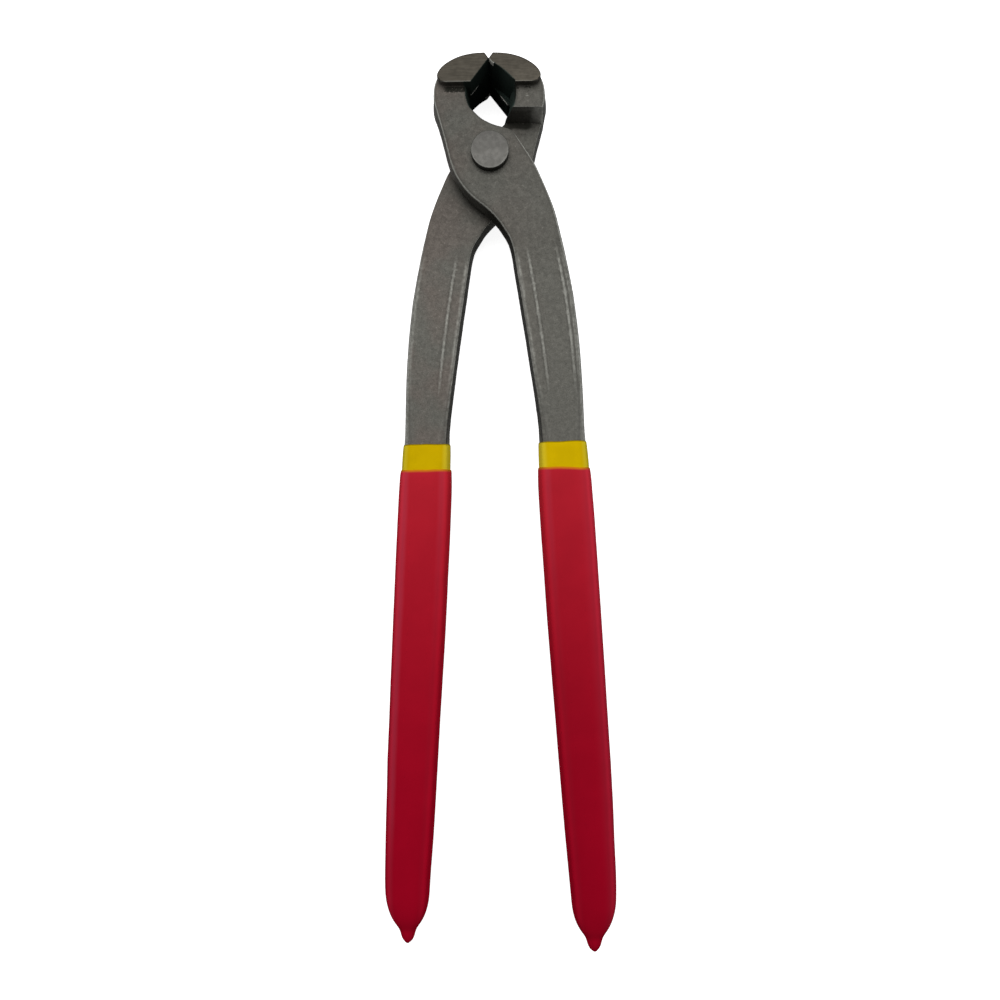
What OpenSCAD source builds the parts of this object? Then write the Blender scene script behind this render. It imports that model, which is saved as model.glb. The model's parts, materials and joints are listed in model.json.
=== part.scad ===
// End cutting nippers. Two identical forged halves cross in a lap joint on one rivet, and each
// handle carries two dipped coats: a yellow one first, then a red one that stops short of it.
// The pivot is the Z axis, the jaws point along +Y, and the tool lies on z = 0, on the ground
// sides of its blades and the tail of its rivet. The jaws are drawn closed.
// One half is drawn with its lap face on its own plane z = 0 and its jaw to the left. The other
// half is the same forging turned over, half a turn about Y.

/* [Head] */
// Height of the jaws above the pivot
jaw_top = 31.6; // [29:0.2:34]
// Width across the closed head
head_w = 38.7; // [35:0.1:42]
// Width of the mouth between the closed jaws
mouth_w = 13.5; // [11:0.1:15]
// Length of the cutting edges, from one side of the tool to the other
edge_l = 26; // [24:0.5:30]
// Depth of the ground blade at the top of a jaw
blade_h = 9.5; // [8:0.1:10.5]
// Depth of the cutting edges below the top of the jaws
edge_drop = 1.8; // [1:0.1:2.4]
// Half of the gap left between the closed cutting edges
edge_clear = 0.05; // [0.03:0.01:0.1]
// Depth by which the hollow of a blade runs on past the plane of the lap
hollow_over = 3.5; // [1:0.5:5]

/* [Lap joint] */
// Thickness of a half where the two cross
plate_t = 10; // [9:0.1:11]
// Gap between the two lap faces
lap_gap = 0.1; // [0.06:0.02:0.2]
// Depth by which the far side of the mouth stands back
far_relief = 1.2; // [0.4:0.1:1.6]
// Draft of the forged sides, from the parting line to a face
draft = 0.8; // [0.3:0.1:1]
// Radius of the forged edges
edge_r = 1.1; // [0.6:0.1:1.4]
// Radius of the milled edges of a lap face
lap_r = 0.3; // [0.2:0.05:0.5]

/* [Rivet] */
// Diameter of the rivet's shank
rivet_d = 8; // [6:0.1:9]
// Diameter of the rivet's head and tail
rivet_head_d = 12.5; // [11:0.1:14]
// Radius of the rim of the head and tail
rivet_rim_r = 0.6; // [0.3:0.1:1]
// Radial clearance in the half that the rivet is pressed into
press_clear = 0.01; // [0.01:0.01:0.03]
// Radial clearance in the half that turns on the rivet
turn_clear = 0.05; // [0.03:0.01:0.1]

/* [Shanks] */
// Length from the pivot to the end of the bare steel
bare_l = 95.5; // [86:0.5:104]
// Width of a shank just below the lap joint
shank_w = 19; // [17:0.1:21]
// Thickness of a shank just below the lap joint
shank_t = 9.6; // [8.5:0.1:10.5]
// Width of a shank where its grip starts
tang_w = 15.7; // [14:0.1:17]
// Thickness of a shank where its grip starts
tang_t = 9; // [8:0.1:10]
// Edge radius of the tang inside its grip
tang_r = 2.6; // [1.6:0.1:3]
// Height of a handle's middle plane above the plane of the lap
handle_rise = 3.5; // [3:0.1:4.5]
// Height of the forged ribs on a shank
rib_h = 0.35; // [0.2:0.05:0.6]
// Width of the forged ribs on a shank
rib_w = 2.6; // [1.4:0.1:2.8]

/* [Grips] */
// Length from the pivot to the tip of a grip
handle_l = 268.4; // [250:0.2:290]
// Distance between the ends of the two grips
spread = 64; // [60:0.5:72]
// Length of the yellow coat that shows
band_l = 8.8; // [6:0.1:12]
// Thickness of the yellow coat
under_t = 0.65; // [0.5:0.05:0.9]
// Thickness of the red coat
grip_t = 0.75; // [0.6:0.05:1.4]
// Diameter of the drip at the end of a grip
drip_d = 5.2; // [4:0.1:7]
// Length of the drip at the end of a grip
drip_l = 4; // [2:0.1:6]

/* [Hidden] */
$fn = 64;

half_w = head_w / 2;
half_mouth = mouth_w / 2;
half_edge = edge_l / 2;
half_spread = spread / 2;
cover_l = handle_l - bare_l;

// Gap between the layers of a handle
bond_gap = 0.02;
// Overrun of every cut
cut_over = 1;
// Steps in a rounded edge, between two rows of an outline, and in a round end
edge_steps = 3;
row_steps = 2;
dome_steps = 5;
// Angle at which a round end is cut flat
dome_angle = 82;

// The outline of a half is a ribbon that starts in the jaw, goes round the mouth and runs down
// the shank. A row is one line across it, from the outer to the inner edge. Above the pivot the
// columns are: outer x in half head widths, y in jaw heights, inner x in half mouths, y in jaw
// heights.
jaw_shares = [
    [-0.780, 0.860, -1.18, 0.835],
    [-0.900, 0.810, -1.12, 0.770],
    [-0.965, 0.745, -1.02, 0.715],
    [-0.992, 0.685, -1.00, 0.660],
    [-1.000, 0.620, -1.00, 0.595],
    [-0.995, 0.550, -0.93, 0.540],
    [-0.967, 0.475, -0.80, 0.480]];
throat_shares = [
    [-0.950, 0.440, -0.67, 0.450],
    [-0.920, 0.370, -0.48, 0.410],
    [-0.880, 0.280, -0.25, 0.373],
    [-0.832, 0.170, 0.02, 0.342],
    [-0.786, 0.050, 0.37, 0.312],
    [-0.740, -0.060, 0.78, 0.288],
    [-0.683, -0.170, 1.14, 0.264]];
// Below the mouth both x are in half head widths and both y in jaw heights. The last column is
// how far the ribbon has left the plane of the lap for that of the handle.
lap_shares = [
    [-0.613, -0.260, 0.475, 0.220, 0],
    [-0.520, -0.350, 0.565, 0.135, 0],
    [-0.415, -0.430, 0.650, 0.055, 0],
    [-0.292, -0.500, 0.730, -0.025, 0],
    [-0.152, -0.567, 0.807, -0.105, 0],
    [-0.022, -0.640, 0.888, -0.215, 0],
    [0.096, -0.722, 0.976, -0.335, 0],
    [0.202, -0.820, 1.054, -0.455, 0.05],
    [0.300, -0.925, 1.130, -0.590, 0.2],
    [0.356, -1.065, 1.200, -0.760, 0.45],
    [0.391, -1.220, 1.275, -0.955, 0.75]];
// Share of the ramp under a blade that each row of the jaw still carries
ramp_shares = [1, 0.8, 0.45, 0.1, 0, 0, 0];
// Height of that ramp above the face of the plate
ramp_h = 1.4;

// Rows of the bare shank: length in bare lengths, centre in half spreads, how far the width has
// gone from that of the shank to that of the tang, and the share of the lap's rise still left
bare_shares = [
    [0.485, 0.571, 0, 0.25],
    [0.630, 0.630, 0.16, 0.05],
    [0.775, 0.676, 0.48, 0],
    [0.915, 0.712, 0.90, 0],
    [1, 0.727, 1, 0]];
// Rows of the covered tang: length in cover lengths, centre in half spreads, width in tang widths
cover_shares = [
    [0.11, 0.756, 0.99],
    [0.27, 0.805, 1],
    [0.43, 0.856, 0.98],
    [0.59, 0.911, 0.945],
    [0.75, 0.959, 0.90],
    [0.89, 1, 0.81]];
// Rows of the coats near their dip lines, in band lengths: on the yellow band, and on the red
band_stop_shares = [0, 0.125, 0.5];
lip_stop_shares = [0, 0.125, 0.375, 1];
// Share of its thickness that a coat has at its dip line
lip_share = 0.35;
// Length of the tang in cover lengths, and where its round end starts
tang_end_share = 0.955;
dome_share = 0.89;
// Rows of the drip below a grip: length in drip lengths, width in drip diameters
drip_shares = [[0.1, 1], [0.5, 0.88], [0.85, 0.6], [1, 0.22]];

// The outer outline of a blade: x in half head widths, y in jaw heights
blade_outer_shares = [
    [-0.070, 1], [-0.210, 0.997], [-0.330, 0.988], [-0.460, 0.970], [-0.590, 0.940],
    [-0.715, 0.897], [-0.805, 0.852], [-0.860, 0.807], [-0.882, 0.765]];
// The round corner at its foot: x in half head widths, y in blade depths above the foot
blade_corner_shares = [[-0.866, 0.15], [-0.815, 0.035], [-0.735, 0]];
// Inner foot of a blade in half mouths
blade_foot_share = -0.90;
// The hollow ground into its far side: x in half mouths, y in blade depths above the foot
hollow_shares = [[-0.145, 0.675], [-0.340, 0.600], [-0.590, 0.480], [-0.875, 0.300],
                 [-1.110, 0.140], [-1.270, 0.050]];

function cubic(p, q, m, n, f) =
    (2 * f ^ 3 - 3 * f ^ 2 + 1) * p + (f ^ 3 - 2 * f ^ 2 + f) * m
    + (3 * f ^ 2 - 2 * f ^ 3) * q + (f ^ 3 - f ^ 2) * n;

// A smooth run through rows of any width. The row after the last one only steers its end.
function spline(rows, steps, after) = [
    for (i = [0 : len(rows) - 2])
        let (p = rows[i], q = rows[i + 1],
             before = rows[max(i - 1, 0)],
             next = i + 2 < len(rows) ? rows[i + 2] : after)
        for (k = [0 : steps - 1])
            cubic(p, q, (q - before) / 2, (next - p) / 2, k / steps),
    rows[len(rows) - 1]];

function segment(rows, s, i = 0) =
    i >= len(rows) - 2 || s < rows[i + 1][0] ? i : segment(rows, s, i + 1);

// The row at place s of a table whose first column is the place
function along(rows, s) =
    let (i = segment(rows, s),
         a = rows[max(i - 1, 0)], p = rows[i], q = rows[i + 1],
         b = rows[min(i + 2, len(rows) - 1)],
         step = q[0] - p[0])
    cubic(p, q, (q - a) * step / (q[0] - a[0]), (b - p) * step / (b[0] - p[0]), (s - p[0]) / step);

function arc(centre, r, from, to) = [
    for (k = [0 : edge_steps])
        let (a = from + (to - from) * k / edge_steps)
        centre + r * [cos(a), sin(a)]];

// A section of the ribbon: a bar with drafted sides and rounded edges, in the upright plane
// through its row. A section is [outer point, inner point, low z, high z, low r, high r, relief].
function ring(s) =
    let (w = norm(s[1] - s[0]), along_row = (s[1] - s[0]) / w,
         flat = concat(
             [[0, (s[2] + s[3]) / 2]],
             arc([draft + s[5], s[3] - s[5]], s[5], 180, 90),
             arc([w - draft - s[5], s[3] - s[5]], s[5], 90, 0),
             [[w, (s[2] + s[3]) / 2]],
             arc([w - draft - s[6] - s[4], s[2] + s[4]], s[4], 0, -90),
             arc([draft + s[4], s[2] + s[4]], s[4], -90, -180)))
    [for (p = flat) [s[0][0] + along_row[0] * p[0], s[0][1] + along_row[1] * p[0], p[1]]];

// The handle's own table: y, centre, width, thickness, middle height, edge radius
handle_rows = concat(
    [for (b = bare_shares) [
        b[0] * bare_l,
        b[1] * half_spread,
        shank_w + (tang_w - shank_w) * b[2],
        shank_t + (tang_t - shank_t) * b[2],
        handle_rise + (plate_t / 2 - handle_rise) * b[3],
        edge_r + (tang_r - edge_r) * b[2] ^ 4]],
    [for (c = cover_shares) [
        bare_l + c[0] * cover_l,
        c[1] * half_spread,
        tang_w * c[2],
        tang_t * (1 + c[2]) / 2,
        handle_rise,
        tang_r]]);

// A section of the handle at distance s below the pivot, grown outwards by t
function bar(s, t, shrink = 1, reach = 0) =
    let (h = along(handle_rows, s), hw = (h[2] / 2 + t) * shrink, ht = (h[3] / 2 + t) * shrink)
    [[h[1] - hw, -s - reach], [h[1] + hw, -s - reach], h[4] - ht, h[4] + ht,
     (h[5] + t) * shrink, (h[5] + t) * shrink, 0];

// Rows that turn from the share tables into sections
function jaw_section(i) =
    let (j = jaw_shares[i], top = plate_t + ramp_h * ramp_shares[i])
    [j[0] * half_w, j[1] * jaw_top, j[2] * half_mouth, j[3] * jaw_top,
     -top, top, edge_r, edge_r, far_relief];

neck = bar(bare_shares[0][0] * bare_l, 0);
after_neck = bar(bare_shares[1][0] * bare_l, 0);

function plain(s) = [s[0][0], s[0][1], s[1][0], s[1][1], s[2], s[3], s[4], s[5], s[6]];
function sectioned(r) = [[r[0], r[1]], [r[2], r[3]], r[4], r[5], r[6], r[7], r[8]];

function lap_section(l, inner_w, left) =
    [l[0] * half_w, l[1] * jaw_top, l[2] * inner_w, l[3] * jaw_top,
     lap_gap / 2 + (neck[2] - lap_gap / 2) * left, plate_t + (neck[3] - plate_t) * left,
     lap_r + (edge_r - lap_r) * left, edge_r, 0];

jaw_rows = [for (i = [0 : len(jaw_shares) - 1]) jaw_section(i)];
lap_rows = concat(
    [for (l = throat_shares) lap_section(l, half_mouth, 0)],
    [for (l = lap_shares) lap_section(l, half_w, l[4])],
    [plain(neck)]);

// Distances below the pivot of the sections under the coats, which all share them
coat_start = bare_l;
grip_start = bare_l + band_l;
dome_start = bare_l + dome_share * cover_l;
band_stops = [for (b = band_stop_shares) coat_start + b * band_l];
grip_stops = concat(
    [for (b = lip_stop_shares) grip_start + b * band_l],
    [for (c = cover_shares) if (c[0] > cover_shares[0][0]) bare_l + c[0] * cover_l]);
shank_stops = [
    for (i = [0 : len(bare_shares) - 2])
        for (k = [0 : row_steps - 1])
            let (a = bare_shares[i][0], b = bare_shares[i + 1][0])
            if (i > 0 || k > 0) (a + (b - a) * k / row_steps) * bare_l];
tang_dome_l = (tang_end_share - dome_share) * cover_l;

// Sections of the rounded end of the tang, or of a coat grown outwards by t
function dome(t, length, rings = dome_steps) = [
    for (k = [1 : rings])
        let (a = dome_angle * k / dome_steps)
        bar(dome_start, t, cos(a), length * sin(a))];

// A closed skin over rings of points
function skin_faces(rings, size, first = 0) = [
    for (i = [0 : rings - 2])
        for (k = [0 : size - 1])
            let (a = first + i * size + k,
                 b = first + i * size + (k + 1) % size)
            each [[a, b, b + size], [a, b + size, a + size]]];
function joined(rings) = [for (r = rings) each r];
function turned(faces) = [for (f = faces) [f[2], f[1], f[0]]];
function cap(size, first) = [for (k = [0 : size - 1]) first + k];
function cap_back(size, first) = [for (k = [size - 1 : -1 : 0]) first + k];

module skin(rings) {
    size = len(rings[0]);
    count = len(rings);
    polyhedron(
        points = joined(rings),
        faces = concat(
            skin_faces(count, size),
            [cap_back(size, 0), cap(size, (count - 1) * size)]));
}

// A sock: a skin outside, one inside, and a rim that joins them at the open end
module sock(outer, inner) {
    size = len(outer[0]);
    split = len(outer) * size;
    polyhedron(
        points = concat(joined(outer), joined(inner)),
        faces = concat(
            skin_faces(len(outer), size),
            turned(skin_faces(len(inner), size, split)),
            [cap(size, split - size), cap_back(size, split + (len(inner) - 1) * size)],
            [for (k = [0 : size - 1])
                let (a = k, b = (k + 1) % size)
                each [[b, a, split + a], [b, split + a, split + b]]]));
}

// The forged body of a half: jaw, lap plate, shank and tang in one ribbon
module forging() {
    jaw = [for (r = spline(jaw_rows, row_steps, lap_rows[0])) ring(sectioned(r))];
    lap = [for (r = spline(lap_rows, row_steps, plain(after_neck))) ring(sectioned(r))];
    stops = concat(shank_stops, band_stops, grip_stops);
    bars = [for (s = stops) ring(bar(s, 0))];
    tip = [for (s = dome(0, tang_dome_l)) ring(s)];
    skin(concat(jaw, lap, bars, tip));
}

// The ground blade across the top of a jaw, with the hollow in its far side
module blade() {
    foot_y = jaw_top - blade_h;
    tip = [-edge_clear, jaw_top - edge_drop];
    outer = spline([for (p = blade_outer_shares) [p[0] * half_w, p[1] * jaw_top]], row_steps,
                   [blade_corner_shares[0][0] * half_w, foot_y]);
    foot_x = hollow_shares[len(hollow_shares) - 1][0] * half_mouth;
    corner = [for (p = blade_corner_shares) [p[0] * half_w, foot_y + p[1] * blade_h]];
    hollow = spline([for (p = hollow_shares) [p[0] * half_mouth, foot_y + p[1] * blade_h]],
                    row_steps, [foot_x, foot_y]);
    difference() {
        linear_extrude(edge_l, center = true)
            polygon(concat([tip], outer, corner, [[blade_foot_share * half_mouth, foot_y]]));
        translate([0, 0, -half_edge - cut_over])
            linear_extrude(half_edge + hollow_over + cut_over)
                polygon(concat(hollow, [[foot_x, foot_y - cut_over],
                                        [cut_over, foot_y - cut_over],
                                        [cut_over, hollow[0][1]]]));
    }
}

// A raised rib along a face of the shank: where it runs across the width, from 0 at the inner
// edge to 1 at the outer one, and which face it is on
rib_end_share = 0.86;
rib_place_share = 0.30;
outer_rib_place_share = 0.825;
// Share of the width of a rib that its flat crest takes
crest_share = 0.25;
crest_w = rib_w * crest_share;
rib_rows = concat(
    [for (r = spline(lap_rows, row_steps, plain(after_neck))) if (r[1] < -jaw_top) sectioned(r)],
    [for (s = shank_stops) if (s < rib_end_share * bare_l) bar(s, 0)]);

module rib(place, top) {
    last = len(rib_rows) - 1;
    side = top ? 1 : -1;
    rings = [for (i = [0 : last])
        let (s = rib_rows[i], out = i == 0 || i == last ? 0 : rib_h,
             c = s[0] + (s[1] - s[0]) * place, across = (s[1] - s[0]) / norm(s[1] - s[0]),
             face = top ? s[3] : s[2],
             foot = c - across * rib_w / 2, far_foot = c + across * rib_w / 2,
             crest = c - across * crest_w / 2, far_crest = c + across * crest_w / 2,
             low = face - side * rib_h, high = face + side * out)
        [[foot[0], foot[1], low], [crest[0], crest[1], high],
         [far_crest[0], far_crest[1], high], [far_foot[0], far_foot[1], low]]];
    skin(top ? rings : [for (r = rings) [r[3], r[2], r[1], r[0]]]);
}

module half(bore_clear) {
    difference() {
        union() {
            forging();
            blade();
            rib(rib_place_share, true);
            rib(outer_rib_place_share, true);
            rib(rib_place_share, false);
        }
        translate([0, 0, -cut_over])
            cylinder(d = rivet_d + 2 * bore_clear, h = plate_t + 2 * cut_over);
    }
}

// A head of the rivet, standing on z = 0
module rivet_head(height) {
    rim = [for (k = [0 : edge_steps])
        let (a = 90 * k / edge_steps)
        [rivet_head_d / 2 - rivet_rim_r + rivet_rim_r * cos(a),
         height - rivet_rim_r + rivet_rim_r * sin(a)]];
    rotate_extrude()
        polygon(concat([[0, 0], [rivet_head_d / 2, 0]], rim, [[0, height]]));
}

module rivet() {
    head_h = half_edge - plate_t;
    translate([0, 0, -plate_t - lap_gap / 2])
        cylinder(d = rivet_d, h = 2 * plate_t + lap_gap / 2);
    translate([0, 0, plate_t])
        rivet_head(head_h);
    mirror([0, 0, 1])
        translate([0, 0, plate_t + lap_gap / 2])
            rivet_head(head_h - lap_gap / 2);
}

// Thickness of a coat at distance s below its dip line: a thin lip that swells to its full depth
function coat(s, full) = full * min(1, lip_share + (1 - lip_share) * sqrt(max(s, 0) / band_l));

module under_coat() {
    stops = concat(band_stops, grip_stops);
    outer = [for (s = stops) ring(bar(s, bond_gap + coat(s - coat_start, under_t)))];
    inner = [for (s = stops) ring(bar(s, bond_gap))];
    outer_end = [for (s = dome(bond_gap + under_t, tang_dome_l + under_t)) ring(s)];
    inner_end = [for (s = dome(bond_gap, tang_dome_l + bond_gap)) ring(s)];
    sock(concat(outer, outer_end), concat(inner, inner_end));
}

// The red coat fills out into a blunt end that runs into a drip
module grip() {
    in_t = bond_gap + under_t;
    bore_t = in_t + bond_gap;
    full_t = bore_t + grip_t;
    inner = [for (s = grip_stops) ring(bar(s, bond_gap + coat(s - coat_start, under_t) + bond_gap))];
    outer = [for (s = grip_stops)
        ring(bar(s, bond_gap + coat(s - coat_start, under_t) + bond_gap + coat(s - grip_start, grip_t)))];
    inner_end = [for (s = dome(bore_t, tang_dome_l + in_t)) ring(s)];
    end_l = handle_l - dome_start - drip_l;
    blunt = [for (s = dome(full_t, end_l, dome_steps - 1)) ring(s)];
    sock(concat(outer, blunt, drip(end_l)), concat(inner, inner_end));
}

// Sections of the drip, round and tapering to a soft tip
function drip(end_l) = [
    for (d = drip_shares)
        let (h = along(handle_rows, dome_start), r = drip_d / 2 * d[1],
             y = -dome_start - end_l - drip_l * d[0], c = h[1])
        ring([[c - r, y], [c + r, y], h[4] - r, h[4] + r,
              (r - draft) * d[1], (r - draft) * d[1], 0])];

module on_bench() {
    translate([0, 0, half_edge]) children();
}
module turned_over() {
    rotate([0, 180, 0]) children();
}

module front_half() {
    color([0.27, 0.27, 0.26]) on_bench() half(press_clear);
}
module rear_half() {
    color([0.25, 0.25, 0.24]) on_bench() turned_over() half(turn_clear);
}
module pivot_rivet() {
    color([0.45, 0.45, 0.43]) on_bench() rivet();
}
module front_under_coat() {
    color([0.85, 0.72, 0.05]) on_bench() under_coat();
}
module rear_under_coat() {
    color([0.85, 0.72, 0.05]) on_bench() turned_over() under_coat();
}
module front_grip() {
    color([0.75, 0.08, 0.15]) on_bench() grip();
}
module rear_grip() {
    color([0.75, 0.08, 0.15]) on_bench() turned_over() grip();
}

front_half();
rear_half();
pivot_rivet();
front_under_coat();
rear_under_coat();
front_grip();
rear_grip();
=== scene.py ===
"""End cutting nippers: forged and ground steel halves, a riveted lap joint and two-dip vinyl grips."""

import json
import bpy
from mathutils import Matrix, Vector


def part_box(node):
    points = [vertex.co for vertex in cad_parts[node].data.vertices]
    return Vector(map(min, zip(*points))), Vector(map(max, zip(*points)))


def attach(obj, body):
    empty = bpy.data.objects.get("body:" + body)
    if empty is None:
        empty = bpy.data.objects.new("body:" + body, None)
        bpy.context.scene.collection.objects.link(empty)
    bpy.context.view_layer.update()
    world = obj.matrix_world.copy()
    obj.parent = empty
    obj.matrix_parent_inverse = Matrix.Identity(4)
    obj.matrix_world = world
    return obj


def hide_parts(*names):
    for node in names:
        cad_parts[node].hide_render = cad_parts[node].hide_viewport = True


bl_info = {
    "name": "End cutting nippers",
    "version": (1, 0, 0),
    "blender": (4, 5, 0),
    "location": "View3D > Sidebar > Nippers",
    "description": "Dresses the packed nippers with forged steel, ground jaws and dipped grips",
    "category": "Object",
}

from math import cos, pi, radians, sin

import bmesh
import bpy
import numpy as np
from bpy.props import FloatProperty, FloatVectorProperty, IntProperty, PointerProperty
from mathutils import Vector, noise

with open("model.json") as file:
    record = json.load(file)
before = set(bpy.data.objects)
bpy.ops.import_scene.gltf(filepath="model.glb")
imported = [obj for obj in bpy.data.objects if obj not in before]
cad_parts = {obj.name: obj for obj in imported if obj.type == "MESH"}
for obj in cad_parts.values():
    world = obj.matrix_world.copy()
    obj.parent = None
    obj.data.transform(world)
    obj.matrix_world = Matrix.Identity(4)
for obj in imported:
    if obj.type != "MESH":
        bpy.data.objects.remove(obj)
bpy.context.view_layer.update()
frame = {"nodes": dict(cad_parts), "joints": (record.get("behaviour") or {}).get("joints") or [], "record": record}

MM = 0.001
LAP_Z = frame["joints"][0]["pos_m"][2]
JAW_TOP_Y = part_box("front_half")[1].y
BAND_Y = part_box("front_under_coat")[1].y
DIP_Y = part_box("front_grip")[1].y
END_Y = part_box("front_grip")[0].y
HALF_H = (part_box("front_half")[1].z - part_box("front_half")[0].z) / 2
RIVET_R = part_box("pivot_rivet")[1].x
BODY_OF = {n: b for b, nodes in frame["record"]["behaviour"]["bodies"].items() for n in nodes}
MERGE_L = 0.001 * MM

# Noise in the meshes

SEED_STEPS = (7.3, 3.1, 5.7)
WAVE_SOFTNESS = 1.0
WAVE_RATIO = 2.0
WAVE_OCTAVES = 2

# Places on a forging, where a pair holds the two ends of a fade

BLADE_H = 9.5 * MM
FOOT_Y = JAW_TOP_Y - BLADE_H
BLADE_RISE = 1.5 * MM
MOUTH_Y = 20 * MM
JAW_LOW_Y = 8 * MM
SHANK_LOW_Y = BAND_Y - 2 * MM
MOUTH_FACING = (0.5 * MM, 2 * MM)
SHANK_Y = (15 * MM, 32 * MM)
OUTER_X = (-1 * MM, 5 * MM)
OUTER_FACING = (0.05, 0.15)
UPRIGHT = (0.22, 0.6)
STEEP = 0.75
FLAT = 0.8

# Smoothing and waves of the forged faces, and the faces that they leave alone

REFINE_ROUNDS = 6
BORE_MARGIN = 1 * MM
LAP_SKIN = 0.8 * MM
LAP_END_Y = -32 * MM
WALL_X = 8 * MM
WALL_Y = 13 * MM
WALL_STEEP = 0.7
BLADE_MARGIN = 1 * MM
TANG_Y = (BAND_Y + 0.5 * MM, BAND_Y + 3 * MM)
FADE_ROUNDS = 2
CRISP_TURN = (400, 900)
CRISP = 0.75
RELAX = 0.6
CLOSED_GAP = 0.08 * MM
CLOSED_LOW_Y = JAW_TOP_Y - 3 * MM
CLOSED_HIGH_Y = JAW_TOP_Y - 1 * MM
RIDGE_Y = (15.08 * MM, 16.1 * MM, 17.2 * MM)
RIDGE_H = 0.62 * MM
RIDGE_RISE = (8 * MM, 9 * MM)
PIT_BIAS = 0.3
SHARP = radians(42)

# Soot and painted shade, and painted glints, in the mouth

SOOT_HALF_W = 9 * MM
SOOT_FADE = 1 * MM
SOOT_Y = (9 * MM, 11 * MM)
LEDGE_RISE = 6 * MM
LEDGE_LOW_Y = FOOT_Y - 4 * MM
LAND_DEPTH = 10.8 * MM
LAND_LOW_Y = JAW_TOP_Y - 3.4 * MM
BEVEL_FOOT_X = 6.07 * MM
BEVEL_SLOPE = 0.782
# Painted highlights: the glints along the bevels' edges and on the lands
GLINT_RISE = 3.5 * MM
GLINT_HALF_H = 0.75 * MM
GLINT_HALF_W = 0.23 * MM
GLINT_START_Y = (21.4 * MM, 22.4 * MM)
GLINT_END_Y = (24.5 * MM, 25.5 * MM)

# Worn edges, with painted highlights on them and on the ribs, with turns given per metre

ROLL_START = (0.2, 0.45)
ROLL_END = (0.80, 0.88)
ROLL_TURN = 60
ROLL_ALL_Y = -60 * MM
MOUTH_RIM_FACING = (0, 1 * MM)
MOUTH_RIM_Y = (5 * MM, 7 * MM)
MOUTH_RIM_LOSS = 0.8
LOW_SHANK_Y = (72 * MM, 90 * MM)
LOW_SHANK_LOSS = 0.6
OUTER_HIGHLIGHT = 0.8
OUTER_LYING = 0.6
TOP_LYING = 0.9
TOP_LOW_Y = 14.5 * MM
TOP_HIGH_Y = 21.5 * MM
TOP_HALF_W = 17.8 * MM
TOP_TURN = (350, 800)
TOP_HIGHLIGHT = 0.75
CREST_TURN = (14, 60)
CREST_Y = (30 * MM, 38 * MM)
CREST_END_Y = (64 * MM, 84 * MM)
CREST_HIGHLIGHT = 0.5
CREST_LOSS = 0.8

# The wall and the foot of the block beside a jaw: painted light and less painted shade on the wall, a painted
# shadow at its foot

BLOCK_LOW_Y = 11 * MM
BLOCK_HIGH_Y = 17.5 * MM
BLOCK_FACING = -0.8
LIT_WALL_X = (13 * MM, 15.5 * MM)
LIT_WALL_RISE = (6.8 * MM, 8 * MM)
LIT_WALL_SHARE = 0.5
WALL_UNSHADED_X = (13.2 * MM, 14.6 * MM)
WALL_UNSHADED_SHARE = 0.7
# Less painted shade on the outer sides
OUTER_LIGHT = 0.45
BASE_RISE = 2.5 * MM
BASE_OVER_LAP = 1 * MM
BASE_LOW_Y = 10 * MM
BASE_HIGH_Y = 17 * MM
BASE_TURN = (400, 1200)
BASE_START_Y = (11.5 * MM, 12.5 * MM)
BASE_X = (13.4 * MM, 15.4 * MM)
BASE_DARK = 0.9
RAGGED_WAVES = ((0.20 * MM, 0.83 * MM), (0.12 * MM, 0.47 * MM))

# Noise and tones of the forged faces

FULL_NOISE = (0.3, 0.7)
WIDE_NOISE = (0.25, 0.75)
PATCH_L = 18 * MM
PATCH_NOISE = (0.33, 0.57)
MOTTLE_L = 1.4 * MM
MOTTLE_GAIN = (0.95, 1.05)
GRAIN_L = 0.40 * MM
GRAIN_GAIN = (0.87, 1.13)
SPECK_L = 0.75 * MM
PALE_SPECK = (0.62, 0.72)
PALE_GAIN = 1.35
DARK_SPECK = (0.36, 0.28)
DARK_GAIN = 0.68
WARM_X = 30 * MM
# Painted light: the forged faces lighter along the shanks than at the head
SHANK_TONE_Y = (-60 * MM, 5 * MM)
BROKEN_NOISE = (0.38, 0.6)
BROKEN_Y = (-40 * MM, -15 * MM)
BROKEN_SHARE = (0.5, 0.8)
SCALE_AND_SHADE_SHARE = 0.95
FORGED_ROUGH = (0.66, 0.52)
GROUND_SHINE = 0.14
WORN_SHINE = 0.12
FORGED_METAL = 0.3
FORGED_BUMP = 0.08 * MM

# The ground sides, and the ragged dark line of scale and painted shadow at their foot

GROUND_RISE = (HALF_H - 0.20 * MM, HALF_H - 0.10 * MM)
LEFT_X = (-2 * MM, -6 * MM)
FOOT_START_Y = (FOOT_Y - 0.25 * MM, FOOT_Y - 0.4 * MM)
FOOT_WALL_Y = (FOOT_Y - 0.65 * MM, FOOT_Y - 0.35 * MM)
FOOT_WALL_DARK = 0.4
FOOT_X = (17 * MM, 13.6 * MM)
FOOT_RISE = (8.6 * MM, 9.2 * MM)
FOOT_NOISE = (0.60, 0.82)
STROKE_L = 0.55 * MM
STROKE_STRETCH = (0.8, 1, 1)
STROKE_ANGLE = radians(40)
STROKE_GAIN = 2.8
GRINDING_L = 0.5 * MM
GRINDING_STRETCH = (0.12, 1, 1)
GRINDING_ANGLE = radians(8)
GRINDING_TONE = (0.88, 1.14)
LIT_FOOT_Y = (FOOT_Y + 0.45 * MM, FOOT_Y + 0.15 * MM)
PALE_FOOT_Y = (29 * MM, 23 * MM)
PALE_FOOT_X = (2 * MM, 10 * MM)
PALE_FOOT_GAIN = 1.24
# Painted light: the soot in the mouth lighter on the right
SOOT_RIGHT_X = (2 * MM, 6 * MM)
SOOT_RIGHT_TONE = 2
GLINT_TONE = 2

# The foot on the right and on the left: where its dark line of scale and painted shadow ends and is full, how
# dark, how lit

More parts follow.
